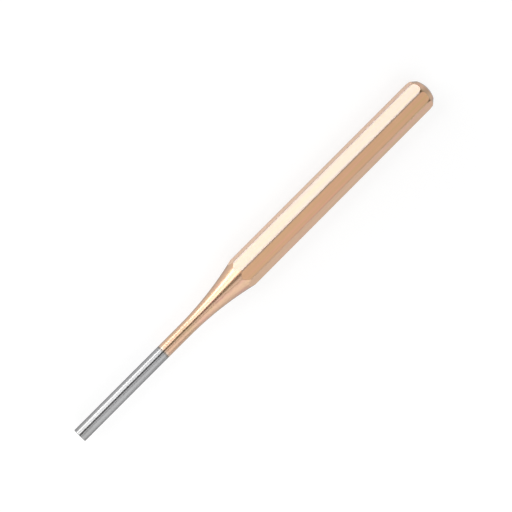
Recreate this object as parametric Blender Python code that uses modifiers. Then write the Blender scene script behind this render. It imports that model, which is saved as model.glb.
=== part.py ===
"""A pin punch: an octagonal steel bar, turned down through a long neck to a slim driving pin.

Lengths are in metres and +Z is up. The punch lies along X on one of its eight flats, with its
tip towards -X and its struck head towards +X. The origin is on the ground, under the middle of
the punch.
"""

import math

import bmesh
import bpy
from mathutils import Matrix

# Whole punch
LENGTH = 0.150

# Drawn octagonal bar
ACROSS_FLATS = 0.0099
LONG_EDGE_RADIUS = 0.0004

# Turned pin, and the stretch of it that is ground bright
PIN_DIAMETER = 0.00465
PIN_LENGTH = 0.0448
GROUND_LENGTH = 0.0362
GRINDING_DEPTH = 0.00003
TIP_CHAMFER = 0.0001

# Concave neck that runs out on the bar's flats
NECK_RADIUS = 0.1068

# Struck head: a crowned face, a turned chamfer, and a shoulder that eases the long edges' ends
CROWN_RADIUS = 0.0076
CROWN_EDGE_DIAMETER = 0.0076
CHAMFER_ANGLE = math.radians(40)
SHOULDER_RADIUS = 0.0010
SHOULDER_DEPTH = 0.00012
SHOULDER_ANGLE = math.radians(8)

# Steps of the round surfaces
TURNED_STEPS = 64
NECK_STEPS = 16
CROWN_STEPS = 8
SHOULDER_STEPS = 5
LONG_EDGE_STEPS = 4
SHARP_ANGLE = math.radians(15)

# How far the bar and the turned blank reach past the finished punch before they are intersected
STOCK = 0.001

SIDES = 8
HALF_SIDE_ANGLE = math.pi / SIDES
BAR_CORNER_RADIUS = ACROSS_FLATS / 2 / math.cos(HALF_SIDE_ANGLE)
LONG_EDGE_CENTRE = (ACROSS_FLATS / 2 - LONG_EDGE_RADIUS) / math.cos(HALF_SIDE_ANGLE)
BAR_EDGE_RADIUS = LONG_EDGE_CENTRE + LONG_EDGE_RADIUS

LACQUER = ("copper_lacquer", (0.62, 0.36, 0.20, 1.0), 0.85, 0.30)
BARE_STEEL = ("ground_steel", (0.52, 0.52, 0.53, 1.0), 1.00, 0.28)


def clear_scene():
    """Removes whatever the opened scene holds."""
    for obj in list(bpy.data.objects):
        bpy.data.objects.remove(obj, do_unlink=True)


def new_collection(name):
    """A collection linked to the scene."""
    collection = bpy.data.collections.new(name)
    bpy.context.scene.collection.children.link(collection)
    return collection


def new_material(name, colour, metallic, roughness):
    """A plain Principled BSDF material."""
    material = bpy.data.materials.new(name)
    material.use_nodes = True
    shader = material.node_tree.nodes["Principled BSDF"]
    shader.inputs["Base Color"].default_value = colour
    shader.inputs["Metallic"].default_value = metallic
    shader.inputs["Roughness"].default_value = roughness
    return material


def new_object(name, bm, collection):
    """An object that holds a bmesh's geometry."""
    mesh = bpy.data.meshes.new(name)
    bm.to_mesh(mesh)
    bm.free()
    obj = bpy.data.objects.new(name, mesh)
    collection.objects.link(obj)
    return obj


def crown_points():
    """(radius, height) down the crowned face, from the centre of the head to the crown's edge."""
    reach = math.asin(CROWN_EDGE_DIAMETER / 2 / CROWN_RADIUS)
    for step in range(CROWN_STEPS + 1):
        angle = reach * step / CROWN_STEPS
        yield CROWN_RADIUS * math.sin(angle), LENGTH - CROWN_RADIUS * (1 - math.cos(angle))


def shoulder_points(crown_edge, outer_radius):
    """(radius, height) from the head's chamfer round the shoulder, and out past the long edges."""
    crown_edge_radius, crown_edge_height = crown_edge
    inner_radius = BAR_EDGE_RADIUS - SHOULDER_DEPTH
    turn = SHOULDER_RADIUS * (math.cos(SHOULDER_ANGLE) - math.cos(CHAMFER_ANGLE))
    chamfer_depth = (inner_radius - turn - crown_edge_radius) / math.tan(CHAMFER_ANGLE)
    centre_radius = inner_radius - SHOULDER_RADIUS * math.cos(SHOULDER_ANGLE)
    centre_height = crown_edge_height - chamfer_depth - SHOULDER_RADIUS * math.sin(CHAMFER_ANGLE)
    for step in range(SHOULDER_STEPS + 1):
        angle = CHAMFER_ANGLE + (SHOULDER_ANGLE - CHAMFER_ANGLE) * step / SHOULDER_STEPS
        yield (
            centre_radius + SHOULDER_RADIUS * math.cos(angle),
            centre_height + SHOULDER_RADIUS * math.sin(angle),
        )
    ease_height = centre_height + SHOULDER_RADIUS * math.sin(SHOULDER_ANGLE)
    yield outer_radius, ease_height - (outer_radius - inner_radius) / math.tan(SHOULDER_ANGLE)


def neck_points(outer_radius):
    """(radius, height) down the neck's concave arc, from an outer radius to the pin."""
    reach = math.acos(1 - (outer_radius - PIN_DIAMETER / 2) / NECK_RADIUS)
    for step in reversed(range(NECK_STEPS + 1)):
        angle = reach * step / NECK_STEPS
        rise = NECK_RADIUS * (1 - math.cos(angle))
        yield PIN_DIAMETER / 2 + rise, PIN_LENGTH + NECK_RADIUS * math.sin(angle)


def turned_profile():
    """(radius, height) down the turned blank's outline, from the head's centre to the tip's."""
    outer_radius = BAR_CORNER_RADIUS + STOCK
    ground_radius = PIN_DIAMETER / 2 - GRINDING_DEPTH
    crown = list(crown_points())
    return [
        *crown,
        *shoulder_points(crown[-1], outer_radius),
        *neck_points(outer_radius),
        (PIN_DIAMETER / 2, GROUND_LENGTH),
        (ground_radius, GROUND_LENGTH),
        (ground_radius, TIP_CHAMFER),
        (ground_radius - TIP_CHAMFER, 0.0),
        (0.0, 0.0),
    ]


def turned_blank(collection):
    """The punch's outline spun round its axis, wider than the bar between the neck and the head."""
    bm = bmesh.new()
    points = [bm.verts.new((radius, 0.0, height)) for radius, height in turned_profile()]
    for start, end in zip(points, points[1:]):
        bm.edges.new((start, end))
    blank = new_object("turned_blank", bm, collection)
    screw = blank.modifiers.new("Turn", "SCREW")
    screw.steps = TURNED_STEPS
    screw.render_steps = TURNED_STEPS
    screw.use_merge_vertices = True
    screw.merge_threshold = 1e-6
    blank.hide_render = True
    blank.display_type = "WIRE"
    return blank


def octagonal_bar(collection):
    """The drawn bar along Z, with rounded long edges, a little longer than the punch."""
    bm = bmesh.new()
    centred = Matrix.Translation((0.0, 0.0, LENGTH / 2))
    flats_square = Matrix.Rotation(HALF_SIDE_ANGLE, 4, "Z")
    bmesh.ops.create_cone(
        bm,
        cap_ends=True,
        segments=SIDES,
        radius1=BAR_CORNER_RADIUS,
        radius2=BAR_CORNER_RADIUS,
        depth=LENGTH + 2 * STOCK,
        matrix=centred @ flats_square,
    )
    bar = new_object("pin_punch", bm, collection)
    rounding = bar.modifiers.new("Long edges", "BEVEL")
    rounding.width = LONG_EDGE_RADIUS * math.tan(HALF_SIDE_ANGLE)
    rounding.segments = LONG_EDGE_STEPS
    rounding.limit_method = "ANGLE"
    return bar


def cut_to_outline(bar, blank):
    """Keeps what the bar and the turned blank share, as the bar's own mesh."""
    common = bar.modifiers.new("Common volume", "BOOLEAN")
    common.operation = "INTERSECT"
    common.solver = "EXACT"
    common.object = blank
    bpy.context.view_layer.update()
    evaluated = bar.evaluated_get(bpy.context.evaluated_depsgraph_get())
    mesh = bpy.data.meshes.new_from_object(evaluated)
    bar.modifiers.clear()
    bar.data = mesh


def dress(punch):
    """Lacquer all over, apart from the ground end of the pin, and smooth round surfaces."""
    mesh = punch.data
    mesh.materials.clear()
    mesh.materials.append(new_material(*LACQUER))
    mesh.materials.append(new_material(*BARE_STEEL))
    for polygon in mesh.polygons:
        polygon.material_index = 1 if polygon.center.z < GROUND_LENGTH else 0
    mesh.shade_smooth()
    mesh.set_sharp_from_angle(angle=SHARP_ANGLE)


def lay_down(punch):
    """Lays the punch along X on one flat, with its tip towards -X."""
    punch.rotation_euler = (0.0, math.pi / 2, 0.0)
    punch.location = (-LENGTH / 2, 0.0, ACROSS_FLATS / 2)


def build():
    clear_scene()
    punch = octagonal_bar(new_collection("Pin punch"))
    blank = turned_blank(new_collection("Cutters"))
    cut_to_outline(punch, blank)
    dress(punch)
    lay_down(punch)


build()
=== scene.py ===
"""The looks of the pin punch: its copper lacquer, its bright ground pin and a plain studio.

Lengths are in metres. The punch lies along X on one flat, with its tip towards -X.
"""

import logging
import math
from dataclasses import dataclass, field
from enum import Enum, IntEnum

import bmesh
import bpy
from mathutils import Matrix, Vector


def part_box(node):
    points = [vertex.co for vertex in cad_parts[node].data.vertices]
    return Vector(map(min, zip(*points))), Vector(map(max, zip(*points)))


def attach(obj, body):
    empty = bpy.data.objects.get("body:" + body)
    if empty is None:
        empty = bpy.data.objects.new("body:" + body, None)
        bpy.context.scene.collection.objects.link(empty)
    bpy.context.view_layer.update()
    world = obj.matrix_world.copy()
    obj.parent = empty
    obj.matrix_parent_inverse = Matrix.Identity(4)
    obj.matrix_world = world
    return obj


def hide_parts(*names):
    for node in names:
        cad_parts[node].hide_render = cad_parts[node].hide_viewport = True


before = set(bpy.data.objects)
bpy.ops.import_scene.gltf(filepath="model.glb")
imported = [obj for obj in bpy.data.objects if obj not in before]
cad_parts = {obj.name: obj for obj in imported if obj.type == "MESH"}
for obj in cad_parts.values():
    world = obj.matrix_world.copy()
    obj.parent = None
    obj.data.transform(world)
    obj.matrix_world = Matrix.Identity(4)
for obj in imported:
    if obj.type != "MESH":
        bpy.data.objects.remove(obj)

NODE = "pin_punch"
BODY = "root"

WHITE = (1.0, 1.0, 1.0, 1.0)
NOISE_LOW = 0.2
NOISE_HIGH = 0.8

log = logging.getLogger("punch")


class Surface(IntEnum):
    """How a stretch of the punch's surface was made, and its material slot on the mesh."""

    DRAWN = 0
    TURNED = 1
    GROUND = 2


class Grain(Enum):
    """Which way the steel's grain runs under the lacquer."""

    LENGTHWISE = "lengthwise"
    RINGS = "rings"


def deselect_all() -> None:
    """Deselects every object, because the frame's nodes come in selected."""
    bpy.ops.object.select_all(action="DESELECT")


def make_active(piece: bpy.types.Object) -> None:
    """Selects one object alone and makes it the active one.

    Args:
        piece: The object that the next operators act on.
    """
    deselect_all()
    piece.select_set(True)
    bpy.context.view_layer.objects.active = piece


@dataclass(frozen=True)
class PunchSizes:
    """The punch's sizes, as in its drawing.

    The outline's points are (distance from the tip, radius).
    """

    length: float
    across_flats: float
    long_edge_radius: float = 0.0004
    pin_diameter: float = 0.00465
    pin_length: float = 0.0445
    ground_length: float = 0.0358
    grinding_depth: float = 0.00003
    tip_chamfer: float = 0.0001
    neck_radius: float = 0.1068
    crown_radius: float = 0.0076
    crown_edge_diameter: float = 0.0076
    chamfer_angle: float = math.radians(40)
    shoulder_radius: float = 0.0010
    shoulder_depth: float = 0.00012
    shoulder_angle: float = math.radians(8)
    sides: int = 8
    stock: float = 0.001

    @property
    def half_side_angle(self) -> float:
        """Half the angle between two neighbouring flats."""
        return math.pi / self.sides

    @property
    def corner_radius(self) -> float:
        """From the axis to where two flats would meet in a sharp edge."""
        return self.across_flats / 2 / math.cos(self.half_side_angle)

    @property
    def edge_radius(self) -> float:
        """From the axis to the crest of a rounded long edge."""
        centre = (self.across_flats / 2 - self.long_edge_radius) / math.cos(self.half_side_angle)
        return centre + self.long_edge_radius

    @property
    def outer_radius(self) -> float:
        """The turned blank's radius where it passes outside the bar."""
        return self.corner_radius + self.stock

    @property
    def tip_x(self) -> float:
        """Where the tip's end face lies."""
        return -self.length / 2

    @property
    def ground_end_x(self) -> float:
        """Where the bare ground stretch ends and the lacquer starts."""
        return self.tip_x + self.ground_length

    @property
    def axis_height(self) -> float:
        """Height of the punch's axis over the ground."""
        return self.across_flats / 2

    def pin(self) -> list[tuple[float, float]]:
        """The pin's outline: end face, ground stretch, and the step up to the lacquered stretch.

        Returns:
            Points from the axis at the tip to the start of the neck.
        """
        radius = self.pin_diameter / 2
        ground = radius - self.grinding_depth
        return [
            (0.0, 0.0),
            (0.0, ground - self.tip_chamfer),
            (self.tip_chamfer, ground),
            (self.ground_length, ground),
            (self.ground_length + self.grinding_depth, radius),
        ]

    def neck(self, steps: int) -> list[tuple[float, float]]:
        """The neck's concave arc, from the pin out to the blank's outer radius.

        Args:
            steps: How many straight steps stand for the arc.

        Returns:
            Points up the arc.
        """
        radius = self.pin_diameter / 2
        reach = math.acos(1 - (self.outer_radius - radius) / self.neck_radius)
        angles = [reach * step / steps for step in range(steps + 1)]
        return [
            (
                self.pin_length + self.neck_radius * math.sin(angle),
                radius + self.neck_radius * (1 - math.cos(angle)),
            )
            for angle in angles
        ]

    def crown(self, steps: int) -> list[tuple[float, float]]:
        """The struck face's crown, from its edge to the axis.

        Args:
            steps: How many straight steps stand for the arc.

        Returns:
            Points up to the centre of the head.
        """
        reach = math.asin(self.crown_edge_diameter / 2 / self.crown_radius)
        angles = [reach * step / steps for step in range(steps, -1, -1)]
        return [
            (
                self.length - self.crown_radius * (1 - math.cos(angle)),
                self.crown_radius * math.sin(angle),
            )
            for angle in angles
        ]

    def shoulder(self, steps: int, chamfer_steps: int) -> list[tuple[float, float]]:
        """The eased shoulder and the chamfer, from outside the bar to the crown.

        Args:
            steps: How many straight steps stand for the shoulder's round part.
            chamfer_steps: How many steps the straight chamfer is cut into.

        Returns:
            Points from the blank's outer radius in to just before the crown's edge.
        """
        crown_edge, crown_edge_radius = self.crown(1)[0]
        inner = self.edge_radius - self.shoulder_depth
        turn = math.cos(self.shoulder_angle) - math.cos(self.chamfer_angle)
        start_radius = inner - self.shoulder_radius * turn
        chamfer = (start_radius - crown_edge_radius) / math.tan(self.chamfer_angle)
        centre_radius = inner - self.shoulder_radius * math.cos(self.shoulder_angle)
        centre = crown_edge - chamfer - self.shoulder_radius * math.sin(self.chamfer_angle)
        ease = centre + self.shoulder_radius * math.sin(self.shoulder_angle)
        run_out = (self.outer_radius - inner) / math.tan(self.shoulder_angle)
        points = [(ease - run_out, self.outer_radius)]
        for step in range(steps + 1):
            share = step / steps
            angle = self.shoulder_angle + (self.chamfer_angle - self.shoulder_angle) * share
            points.append(
                (
                    centre + self.shoulder_radius * math.sin(angle),
                    centre_radius + self.shoulder_radius * math.cos(angle),
                )
            )
        start, radius = points[-1]
        for step in range(1, chamfer_steps):
            share = step / chamfer_steps
            points.append(
                (
                    start + (crown_edge - start) * share,
                    radius + (crown_edge_radius - radius) * share,
                )
            )
        return points


@dataclass(frozen=True)
class Fineness:
    """How many steps the fine mesh has."""

    around: int = 192
    neck: int = 48
    crown: int = 20
    shoulder: int = 12
    chamfer: int = 8
    long_edge: int = 6


class NodeTable:
    """A short hand for laying out one material's nodes."""

    def __init__(self, material: bpy.types.Material) -> None:
        """Opens the material's node tree.

        Args:
            material: The material to fill.
        """
        material.use_nodes = True
        self.tree = material.node_tree
        self.shader = self.tree.nodes["Principled BSDF"]
        self.place = self.add("ShaderNodeTexCoord").outputs["Object"]

    def add(self, kind: str, **settings: object) -> bpy.types.Node:
        """Adds a node.

        Args:
            kind: The node's type name.
            settings: Properties to set on it.

        Returns:
            The new node.
        """
        node = self.tree.nodes.new(kind)
        for name, value in settings.items():
            setattr(node, name, value)
        return node

    def join(self, source: bpy.types.NodeSocket | float, socket: bpy.types.NodeSocket) -> None:
        """Feeds a socket from another socket or with a plain value.

        Args:
            source: An output socket, a number or a colour.
            socket: The input socket.
        """
        if isinstance(source, bpy.types.NodeSocket):
            self.tree.links.new(source, socket)
        else:
            socket.default_value = source

    def math(self, operation: str, *terms: bpy.types.NodeSocket | float) -> bpy.types.NodeSocket:
        """A Math node on its terms.

        Args:
            operation: The node's operation.
            terms: Its inputs, in order.

        Returns:
            The result.
        """
        node = self.add("ShaderNodeMath", operation=operation)
        for term, socket in zip(terms, node.inputs):
            self.join(term, socket)
        return node.outputs[0]

    def span(
        self,
        value: bpy.types.NodeSocket,
        low: float,
        high: float,
        start: float = 0.0,
        end: float = 1.0,
        smooth: bool = True,
    ) -> bpy.types.NodeSocket:
        """Maps a value from one span to another, held at both ends.

        Args:
            value: The value to map.
            low: Where the result is start.
            high: Where the result is end.
            start: The result at low.
            end: The result at high.
            smooth: Whether it eases in and out.

        Returns:
            The mapped value.
        """
        kind = "SMOOTHSTEP" if smooth else "LINEAR"
        node = self.add("ShaderNodeMapRange", interpolation_type=kind)
        for term, name in (
            (value, "Value"),
            (low, "From Min"),
            (high, "From Max"),
            (start, "To Min"),
            (end, "To Max"),
        ):
            self.join(term, node.inputs[name])
        return node.outputs["Result"]

    def noise(
        self,
        per_metre: tuple[float, float, float],
        shift: float = 0.0,
        detail: float = 2.0,
    ) -> bpy.types.NodeSocket:
        """Noise over the object's own coordinates.

        Args:
            per_metre: How many features a metre holds along X, Y and Z.
            shift: Moves the pattern, so that two like patterns differ.
            detail: The noise's octaves.

        Returns:
            The noise, from 0 to 1.
        """
        mapping = self.add("ShaderNodeMapping")
        self.join(self.place, mapping.inputs["Vector"])
        mapping.inputs["Scale"].default_value = per_metre
        mapping.inputs["Location"].default_value = (shift, shift, shift)
        texture = self.add("ShaderNodeTexNoise")
        self.join(mapping.outputs["Vector"], texture.inputs["Vector"])
        texture.inputs["Scale"].default_value = 1.0
        texture.inputs["Detail"].default_value = detail
        return texture.outputs["Fac"]

    def mix(
        self,
        share: bpy.types.NodeSocket | float,
        first: bpy.types.NodeSocket | tuple[float, ...],
        second: bpy.types.NodeSocket | tuple[float, ...],
    ) -> bpy.types.NodeSocket:
        """Mixes two colours.

        Args:
            share: How much of the second colour shows.
            first: The first colour.
            second: The second colour.

        Returns:
            The mixed colour.
        """
        node = self.add("ShaderNodeMix", data_type="RGBA")
        sockets = {socket.identifier: socket for socket in node.inputs}
        self.join(share, sockets["Factor_Float"])
        self.join(first, sockets["A_Color"])
        self.join(second, sockets["B_Color"])
        return next(socket for socket in node.outputs if socket.identifier == "Result_Color")

    def scale(
        self,
        colour: bpy.types.NodeSocket | tuple[float, ...],
        level: bpy.types.NodeSocket | float,
    ) -> bpy.types.NodeSocket:
        """Makes a colour lighter or darker.

        Args:
            colour: The colour.
            level: What it is multiplied by.

        Returns:
            The scaled colour.
        """
        node = self.add("ShaderNodeVectorMath", operation="SCALE")
        self.join(colour, node.inputs["Vector"])
        self.join(level, node.inputs["Scale"])
        return node.outputs["Vector"]

    def vary(
        self,
        colour: bpy.types.NodeSocket,
        noise: bpy.types.NodeSocket,
        darkest: float,
        lightest: float,
        low: float = NOISE_LOW,
        high: float = NOISE_HIGH,
    ) -> bpy.types.NodeSocket:
        """Makes a colour darker and lighter as a noise falls and rises.

        Args:
            colour: The colour.
            noise: The noise that it follows.
            darkest: What the colour is multiplied by at low.
            lightest: What it is multiplied by at high.
            low: The noise's value for the darkest colour.
            high: The noise's value for the lightest colour.

        Returns:
            The varied colour.
        """
        return self.scale(colour, self.span(noise, low, high, darkest, lightest, smooth=False))

    def axes(self) -> tuple[bpy.types.NodeSocket, ...]:
        """Takes the object's own coordinates apart.

        Returns:
            X, Y and Z.
        """
        node = self.add("ShaderNodeSeparateXYZ")
        self.join(self.place, node.inputs["Vector"])
        return tuple(node.outputs)

    def bump(self, height: bpy.types.NodeSocket, depth: float) -> bpy.types.NodeSocket:
        """A bump from a height.

        Args:
            height: The height, from 0 to 1.
            depth: The real depth, in metres, between 0 and 1.

        Returns:
            The bent normal.
        """
        node = self.add("ShaderNodeBump")
        node.inputs["Distance"].default_value = depth
        self.join(height, node.inputs["Height"])
        return node.outputs["Normal"]


@dataclass(frozen=True)
class CopperLacquer:
    """Copper-toned lacquer, baked over steel whose grain shows through it.

    The scales say how many features of a noise a metre holds along X, Y and Z, and pure_at says
    at which of its values the tone is all gold, all copper and all rose.
    """

    name: str
    grain: Grain
    sizes: PunchSizes
    metallic: float
    coat_ior: float
    coat_weight: float
    coat_roughness: float
    level: float
    copper: tuple[float, float, float, float] = (0.65, 0.385, 0.225, 1.0)
    gold: tuple[float, float, float, float] = (0.63, 0.405, 0.21, 1.0)
    rose: tuple[float, float, float, float] = (0.675, 0.362, 0.245, 1.0)
    pure_at: tuple[float, float, float] = (0.30, 0.50, 0.70)
    # Darker lacquer beside the long edges: thinner lacquer on every edge, and painted shade
    # along the +Y edges, where its share is larger.
    thin_and_shade: tuple[float, float, float, float] = (0.42, 0.31, 0.235, 1.0)
    thin_and_shade_within: float = 0.00026
    thin_and_shade_until: float = 0.00060
    thin_and_shade_shares: tuple[float, float] = (0.25, 0.85)
    thin_and_shade_turn: float = 0.001
    faded: tuple[float, float, float, float] = (0.56, 0.43, 0.34, 1.0)
    faded_share: float = 0.75
    faded_length: float = 0.0011
    edge_tint: tuple[float, float, float, float] = (0.12, 0.10, 0.08, 1.0)
    base_ior: float = 1.5
    drawn_roughness: tuple[float, float] = (0.44, 0.50)
    turned_roughness: tuple[float, float] = (0.29, 0.32)
    grain_depth: float = 0.0000006
    streak_scale: tuple[float, float, float] = (22.0, 1100.0, 1100.0)
    fine_scale: tuple[float, float, float] = (90.0, 3400.0, 3400.0)
    cloud_scale: tuple[float, float, float] = (160.0, 500.0, 500.0)
    ring_scale: tuple[float, float, float] = (7000.0, 60.0, 60.0)
    mottle_scale: tuple[float, float, float] = (1100.0, 1100.0, 1100.0)

    def build(self) -> bpy.types.Material:
        """Makes the material.

        Returns:
            The lacquer.
        """
        material = bpy.data.materials.new(self.name)
        table = NodeTable(material)
        shader = table.shader.inputs
        shader["Metallic"].default_value = self.metallic
        shader["IOR"].default_value = self.base_ior
        shader["Specular Tint"].default_value = self.edge_tint
        shader["Coat Weight"].default_value = self.coat_weight
        shader["Coat Roughness"].default_value = self.coat_roughness
        shader["Coat IOR"].default_value = self.coat_ior
        if self.grain is Grain.LENGTHWISE:
            self.fill_drawn(table)
        else:
            self.fill_turned(table)
        return material

    def tone(self, table: NodeTable, drift: bpy.types.NodeSocket) -> bpy.types.NodeSocket:
        """The lacquer's colour, which drifts from golden to rose.

        Args:
            table: The material's nodes.
            drift: The noise that it drifts with.

        Returns:
            The colour.
        """
        gold_at, copper_at, rose_at = self.pure_at
        golden = table.mix(table.span(drift, gold_at, copper_at), self.gold, self.copper)
        rosy = table.mix(table.span(drift, copper_at, rose_at), golden, self.rose)
        return table.scale(rosy, self.level)

    def fill_drawn(self, table: NodeTable) -> None:
        """Lacquer on the flats: streaks along the bar, and darker lacquer beside its long edges,
        from thinner lacquer and from painted shade along the +Y edges.

        Args:
            table: The material's nodes.
        """
        shader = table.shader.inputs
        streaks = table.noise(self.streak_scale, shift=3.0, detail=2.0)
        fine = table.noise(self.fine_scale, shift=7.0, detail=2.0)
        colour = self.tone(table, streaks)
        colour = table.vary(colour, streaks, darkest=0.96, lightest=1.04)
        colour = table.vary(colour, fine, darkest=0.965, lightest=1.03)
        inset = self.from_long_edge(table)
        _, across, _ = table.axes()
        # The small share on the -Y edges stands for thinner lacquer; the large share on the +Y
        # edges is painted shade.
        turn = self.thin_and_shade_turn
        thin_and_shade_mask = table.math(
            "MULTIPLY",
            table.span(inset, self.thin_and_shade_within, self.thin_and_shade_until, 1.0, 0.0),
            table.span(across, -turn, turn, *self.thin_and_shade_shares),
        )
        colour = table.mix(thin_and_shade_mask, colour, self.thin_and_shade)
        table.join(colour, shader["Base Color"])
        roughness = table.span(fine, NOISE_LOW, NOISE_HIGH, *self.drawn_roughness)
        table.join(roughness, shader["Roughness"])
        table.join(table.bump(fine, self.grain_depth), shader["Normal"])

    def fill_turned(self, table: NodeTable) -> None:
        """Lacquer on the turned neck and head: fine rings, and a thinner, paler end on the pin.

        Args:
            table: The material's nodes.
        """
        shader = table.shader.inputs
        along, _, _ = table.axes()
        clouds = table.noise(self.cloud_scale, shift=3.0, detail=2.0)
        rings = table.noise(self.ring_scale, shift=7.0, detail=2.0)
        mottle = table.noise(self.mottle_scale, shift=11.0, detail=1.0)
        colour = self.tone(table, clouds)
        colour = table.vary(colour, mottle, darkest=0.95, lightest=1.05, low=0.25, high=0.75)
        colour = table.vary(colour, rings, darkest=0.975, lightest=1.02)
        ground_end = self.sizes.ground_end_x
        fading = table.span(
            along, ground_end, ground_end + self.faded_length, self.faded_share, 0.0
        )
        colour = table.mix(fading, colour, self.faded)
        table.join(colour, shader["Base Color"])
        roughness = table.span(rings, NOISE_LOW, NOISE_HIGH, *self.turned_roughness)
        table.join(roughness, shader["Roughness"])
        table.join(table.bump(rings, self.grain_depth), shader["Normal"])

    def from_long_edge(self, table: NodeTable) -> bpy.types.NodeSocket:
        """How far a point of a flat lies from the nearest long edge.

        Args:
            table: The material's nodes.

        Returns:
            The distance, in metres.
        """
        _, across, up = table.axes()
        half_flat = self.sizes.across_flats / 2 * math.tan(self.sizes.half_side_angle)
        turn = table.math("ARCTAN2", across, table.math("SUBTRACT", up, self.sizes.axis_height))
        folded = table.math("TANGENT", table.math("PINGPONG", turn, self.sizes.half_side_angle))
        from_middle = table.math("MULTIPLY", folded, self.sizes.across_flats / 2)
        return table.math("SUBTRACT", half_flat, from_middle)


@dataclass(frozen=True)
class GroundSteel:
    """Bare steel, ground round between centres, and tinted by the oven next to the lacquer."""

    name: str
    sizes: PunchSizes
    grey: tuple[float, float, float, float] = (0.38, 0.38, 0.385, 1.0)
    # A slightly darker grey over the last stretch towards the tip.
    tip_grey: tuple[float, float, float, float] = (0.35, 0.35, 0.35, 1.0)
    burnt: tuple[float, float, float, float] = (0.22, 0.185, 0.155, 1.0)
    edge_tint: tuple[float, float, float, float] = (0.25, 0.25, 0.26, 1.0)
    tip_grey_length: float = 0.010
    burnt_length: float = 0.0008
    burnt_full_length: float = 0.0001
    burnt_share: float = 0.8
    roughness: tuple[float, float] = (0.23, 0.26)
    grain_depth: float = 0.0000004
    ring_scale: tuple[float, float, float] = (9000.0, 90.0, 90.0)
    smear_scale: tuple[float, float, float] = (300.0, 2500.0, 2500.0)

    def build(self) -> bpy.types.Material:
        """Makes the material.

        Returns:
            The steel.
        """
        material = bpy.data.materials.new(self.name)
        table = NodeTable(material)
        shader = table.shader.inputs
        along, _, _ = table.axes()
        tip = self.sizes.tip_x
        ground_end = self.sizes.ground_end_x
        rings = table.noise(self.ring_scale, shift=2.0, detail=3.0)
        smear = table.noise(self.smear_scale, shift=5.0, detail=2.0)
        # Darker towards the tip.
        toward_tip = table.span(along, tip, tip + self.tip_grey_length, 1.0, 0.0)
        colour = table.mix(toward_tip, self.grey, self.tip_grey)
        colour = table.vary(colour, rings, darkest=0.96, lightest=1.035)
        colour = table.vary(colour, smear, darkest=0.95, lightest=1.05)
        burn = table.span(
            along,
            ground_end - self.burnt_length,
            ground_end - self.burnt_full_length,
            0.0,
            self.burnt_share,
        )
        colour = table.mix(burn, colour, self.burnt)
        table.join(colour, shader["Base Color"])
        shader["Metallic"].default_value = 1.0
        shader["Specular Tint"].default_value = self.edge_tint
        roughness = table.span(rings, NOISE_LOW, NOISE_HIGH, *self.roughness)
        table.join(roughness, shader["Roughness"])
        table.join(table.bump(rings, self.grain_depth), shader["Normal"])
        return material


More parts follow.
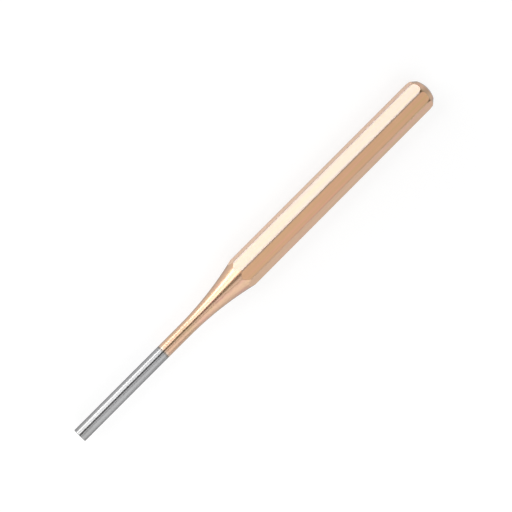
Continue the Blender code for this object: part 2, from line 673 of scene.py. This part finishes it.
@dataclass
class Punch:
    """The whole punch, one piece of steel."""

    sizes: PunchSizes
    fineness: Fineness = field(default_factory=Fineness)
    spun_seam: float = 1e-7
    cut_seam: float = 2e-6
    smooth_below: float = math.radians(15)

    def outline(self) -> list[Vector]:
        """The turned outline, drawn over the punch's axis from the tip to the head.

        Returns:
            Points in the frame's coordinates.
        """
        sizes = self.sizes
        points = [
            *sizes.pin(),
            *sizes.neck(self.fineness.neck),
            *sizes.shoulder(self.fineness.shoulder, self.fineness.chamfer),
            *sizes.crown(self.fineness.crown),
        ]
        return [
            Vector((sizes.tip_x + along, 0.0, sizes.axis_height + radius))
            for along, radius in points
        ]

    def turned_blank(self) -> bpy.types.Object:
        """Spins the outline round the axis, as on a lathe.

        Returns:
            A closed round blank, wider than the bar between the neck and the head.
        """
        points = self.outline()
        bpy.ops.mesh.primitive_plane_add(size=self.sizes.stock)
        blank = bpy.context.object
        blank.name = "turned_blank"
        bpy.ops.object.mode_set(mode="EDIT")
        bpy.ops.mesh.select_all(action="SELECT")
        bpy.ops.mesh.merge(type="CENTER")
        bpy.ops.transform.translate(value=points[0])
        for before, after in zip(points, points[1:]):
            bpy.ops.mesh.extrude_vertices_move(TRANSFORM_OT_translate={"value": after - before})
        bpy.ops.mesh.select_all(action="SELECT")
        bpy.ops.mesh.spin(
            steps=self.fineness.around,
            angle=math.tau,
            center=(0.0, 0.0, self.sizes.axis_height),
            axis=(1.0, 0.0, 0.0),
        )
        bpy.ops.mesh.select_all(action="SELECT")
        bpy.ops.mesh.remove_doubles(threshold=self.spun_seam)
        bpy.ops.mesh.normals_make_consistent(inside=False)
        bpy.ops.object.mode_set(mode="OBJECT")
        return blank

    def octagonal_bar(self) -> bpy.types.Object:
        """The drawn bar with rounded long edges, a little longer than the punch.

        Returns:
            A closed bar with its flats square to the ground.
        """
        sizes = self.sizes
        bpy.ops.mesh.primitive_cylinder_add(
            vertices=sizes.sides,
            radius=sizes.corner_radius,
            depth=sizes.length + 2 * sizes.stock,
            location=(0.0, 0.0, sizes.axis_height),
        )
        bar = bpy.context.object
        bar.name = "steel_punch"
        lay_down = Matrix.Rotation(math.pi / 2, 4, "Y")
        square_up = Matrix.Rotation(sizes.half_side_angle, 4, "Z")
        bar.rotation_euler = (lay_down @ square_up).to_euler()
        bpy.ops.object.transform_apply(location=True, rotation=True, scale=True)
        bpy.ops.object.mode_set(mode="EDIT")
        mesh = bmesh.from_edit_mesh(bar.data)
        for edge in mesh.edges:
            first, second = (vertex.co for vertex in edge.verts)
            edge.select_set(abs(first.x - second.x) > sizes.length / 2)
        bmesh.update_edit_mesh(bar.data)
        bpy.ops.mesh.bevel(
            offset=sizes.long_edge_radius * math.tan(sizes.half_side_angle),
            segments=self.fineness.long_edge,
        )
        bpy.ops.object.mode_set(mode="OBJECT")
        return bar

    def model(self) -> bpy.types.Object:
        """Cuts the bar to the turned outline.

        Returns:
            The finished punch.
        """
        deselect_all()
        blank = self.turned_blank()
        deselect_all()
        punch = self.octagonal_bar()
        for piece in (punch, blank):
            for surface in Surface:
                piece.data.materials.append(None)
        ground_end = self.sizes.ground_end_x + self.sizes.grinding_depth / 2
        for face in blank.data.polygons:
            ground = face.center.x < ground_end
            face.material_index = Surface.GROUND if ground else Surface.TURNED
        make_active(punch)
        common = punch.modifiers.new("Common volume", "BOOLEAN")
        common.operation = "INTERSECT"
        common.solver = "EXACT"
        common.object = blank
        bpy.ops.object.modifier_apply(modifier=common.name)
        bpy.data.objects.remove(blank, do_unlink=True)
        self.shade(punch)
        return punch

    def shade(self, punch: bpy.types.Object) -> None:
        """Shades round surfaces and slight edges smooth.

        Args:
            punch: The cut punch.
        """
        make_active(punch)
        bpy.ops.object.mode_set(mode="EDIT")
        bpy.ops.mesh.select_all(action="SELECT")
        bpy.ops.mesh.remove_doubles(threshold=self.cut_seam)
        bpy.ops.object.mode_set(mode="OBJECT")
        bpy.ops.object.shade_smooth_by_angle(angle=self.smooth_below)
        weighted = punch.modifiers.new("Weighted normals", "WEIGHTED_NORMAL")
        weighted.keep_sharp = True
        bpy.ops.object.modifier_apply(modifier=weighted.name)

    def dress(self, punch: bpy.types.Object) -> None:
        """Gives each kind of surface its finish.

        Args:
            punch: The modelled punch.
        """
        finishes = {
            Surface.DRAWN: CopperLacquer(
                "lacquer_on_flats",
                Grain.LENGTHWISE,
                self.sizes,
                metallic=0.1,
                coat_ior=2.0,
                coat_weight=0.60,
                coat_roughness=0.06,
                level=1.19,
            ),
            Surface.TURNED: CopperLacquer(
                "lacquer_on_turning",
                Grain.RINGS,
                self.sizes,
                metallic=1.0,
                coat_ior=2.0,
                coat_weight=0.9,
                coat_roughness=0.20,
                level=0.92,
            ),
            Surface.GROUND: GroundSteel("ground_steel", self.sizes),
        }
        for surface, finish in finishes.items():
            punch.data.materials[surface] = finish.build()

    def make(self) -> None:
        """Models and dresses the punch in place of its solid."""
        punch = self.model()
        self.dress(punch)
        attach(punch, BODY)
        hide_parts(NODE)
        log.info("%s: %d faces", punch.name, len(punch.data.polygons))


@dataclass(frozen=True)
class Softbox:
    """A long lamp that hangs beside the punch, in line with it, and faces it.

    Its lean is the angle from straight overhead to its middle, positive towards +Y, and its
    spread is the angle from its upper edge to its lower one, both seen from the punch.
    """

    name: str
    lean: float
    spread: float
    distance: float
    length: float
    middle_x: float
    radiance: float

    def place(self) -> None:
        """Hangs the lamp, unseen by the camera."""
        lean = math.radians(self.lean)
        lamp = bpy.data.lights.new(self.name, "AREA")
        lamp.shape = "RECTANGLE"
        lamp.size = self.length
        lamp.size_y = 2 * self.distance * math.tan(math.radians(self.spread) / 2)
        lamp.energy = self.radiance * math.pi * lamp.size * lamp.size_y
        out = Vector((0.0, math.sin(lean), math.cos(lean)))
        holder = bpy.data.objects.new(self.name, lamp)
        bpy.context.scene.collection.objects.link(holder)
        holder.location = out * self.distance + Vector((self.middle_x, 0.0, 0.0))
        holder.rotation_euler = (-out).to_track_quat("-Z", "Y").to_euler()
        holder.visible_camera = False
        log.info("%s: radiance %.2f", self.name, self.radiance)


@dataclass(frozen=True)
class Studio:
    """A white floor under plain soft light.

    The sky is dim where a direction's share along X is within dim_within, and rises to
    sky_past_ends at pale_beyond. The floor's lift is seen, also in gloss, and lights nothing.
    """

    floor_side: float = 6.0
    floor_colour: float = 0.27
    floor_lift: float = 0.79
    floor_roughness: float = 0.9
    sky: float = 0.05
    sky_past_ends: float = 0.45
    dim_within: float = 0.35
    pale_beyond: float = 0.7
    softboxes: tuple[Softbox, ...] = (
        Softbox(
            "bright_high",
            lean=41.5, spread=17.0, distance=0.80,
            length=0.95, middle_x=-0.46, radiance=3.2,
        ),
        Softbox(
            "bright_middle",
            lean=61.0, spread=22.0, distance=0.76,
            length=0.95, middle_x=-0.465, radiance=1.9,
        ),
        Softbox(
            "bright_strip",
            lean=74.0, spread=4.0, distance=0.74,
            length=1.3, middle_x=-0.25, radiance=7.0,
        ),
        Softbox(
            "bright_low",
            lean=82.0, spread=12.0, distance=0.72,
            length=0.95, middle_x=-0.465, radiance=3.7,
        ),
        Softbox(
            "fill_top",
            lean=-3.5, spread=19.0, distance=0.84,
            length=1.1, middle_x=-0.31, radiance=1.20,
        ),
        Softbox(
            "fill_side",
            lean=-40.5, spread=43.0, distance=0.80,
            length=1.3, middle_x=-0.26, radiance=1.27,
        ),
        Softbox(
            "fill_low",
            lean=-75.0, spread=26.0, distance=0.80,
            length=0.95, middle_x=-0.48, radiance=1.20,
        ),
    )

    def lay_floor(self) -> None:
        """A matt white floor that keeps the punch's shadow."""
        bpy.ops.mesh.primitive_plane_add(size=self.floor_side)
        floor = bpy.context.object
        floor.name = "floor"
        material = bpy.data.materials.new("white_floor")
        table = NodeTable(material)
        shader = table.shader.inputs
        level = self.floor_colour
        shader["Base Color"].default_value = (level, level, level, 1.0)
        shader["Roughness"].default_value = self.floor_roughness
        shader["Specular IOR Level"].default_value = 0.0
        shader["Emission Color"].default_value = WHITE
        rays = table.add("ShaderNodeLightPath").outputs
        seen = table.math("MAXIMUM", rays["Is Camera Ray"], rays["Is Glossy Ray"])
        seen = table.math("MAXIMUM", seen, rays["Is Transmission Ray"])
        table.join(table.math("MULTIPLY", seen, self.floor_lift), shader["Emission Strength"])
        floor.data.materials.append(material)

    def light_world(self) -> None:
        """A dim sky, paler past both ends of the punch."""
        world = bpy.data.worlds.new("studio")
        bpy.context.scene.world = world
        world.use_nodes = True
        nodes = world.node_tree.nodes
        links = world.node_tree.links
        place = nodes.new("ShaderNodeTexCoord")
        axes = nodes.new("ShaderNodeSeparateXYZ")
        links.new(place.outputs["Generated"], axes.inputs["Vector"])
        past = nodes.new("ShaderNodeMath")
        past.operation = "ABSOLUTE"
        links.new(axes.outputs["X"], past.inputs[0])
        rise = nodes.new("ShaderNodeMapRange")
        rise.interpolation_type = "SMOOTHSTEP"
        rise.inputs["From Min"].default_value = self.dim_within
        rise.inputs["From Max"].default_value = self.pale_beyond
        rise.inputs["To Min"].default_value = self.sky
        rise.inputs["To Max"].default_value = self.sky_past_ends
        links.new(past.outputs[0], rise.inputs["Value"])
        links.new(rise.outputs["Result"], nodes["Background"].inputs["Strength"])
        nodes["Background"].inputs["Color"].default_value = WHITE

    def build(self) -> None:
        """Lays the floor, hangs the lamps and lights the world."""
        self.lay_floor()
        self.light_world()
        for softbox in self.softboxes:
            softbox.place()


@dataclass(frozen=True)
class PhotoCamera:
    """The camera at the photograph's viewing angle.

    Its centre_x and centre_y are where the middle of the punch stands in the picture, in pixels.
    """

    picture_side: float = 512.0
    pixels_per_metre: float = 3286.0
    centre_x: float = 254.92
    centre_y: float = 260.14
    tilt: float = math.radians(16)
    lean: float = math.radians(4.5)
    roll: float = math.radians(45.045)
    lens_mm: float = 150.0
    sensor_mm: float = 36.0

    def place(self, target: Vector) -> None:
        """Aims the camera and makes it the scene's.

        Args:
            target: The middle of the punch.
        """
        above = Vector((0.0, math.sin(self.tilt), math.cos(self.tilt)))
        across = Vector((0.0, math.cos(self.tilt), -math.sin(self.tilt)))
        towards = above * math.cos(self.lean) - Vector((math.sin(self.lean), 0.0, 0.0))
        along = above * math.sin(self.lean) + Vector((math.cos(self.lean), 0.0, 0.0))
        right = along * math.cos(self.roll) - across * math.sin(self.roll)
        up = along * math.sin(self.roll) + across * math.cos(self.roll)
        middle = self.picture_side / 2
        shift_right = (middle - self.centre_x) / self.pixels_per_metre
        shift_up = (self.centre_y - middle) / self.pixels_per_metre
        aim = target + right * shift_right + up * shift_up
        width = self.picture_side / self.pixels_per_metre
        distance = width * self.lens_mm / self.sensor_mm
        data = bpy.data.cameras.new("camera")
        data.lens = self.lens_mm
        data.sensor_width = self.sensor_mm
        camera = bpy.data.objects.new("camera", data)
        bpy.context.scene.collection.objects.link(camera)
        turn = Matrix((right, up, towards)).transposed().to_4x4()
        camera.matrix_world = Matrix.Translation(aim + towards * distance) @ turn
        bpy.context.scene.camera = camera
        log.info("camera: %.3f m from the punch", distance)


def main() -> None:
    """Builds the punch, the studio and the camera, in that order."""
    logging.basicConfig(level=logging.INFO, format="%(name)s: %(message)s")
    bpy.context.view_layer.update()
    low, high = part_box(NODE)
    sizes = PunchSizes(length=high.x - low.x, across_flats=high.z - low.z)
    Punch(sizes).make()
    Studio().build()
    PhotoCamera().place(Vector((0.0, 0.0, sizes.axis_height)))
    bpy.context.scene.view_settings.view_transform = "Standard"


if __name__ == "__main__":
    main()
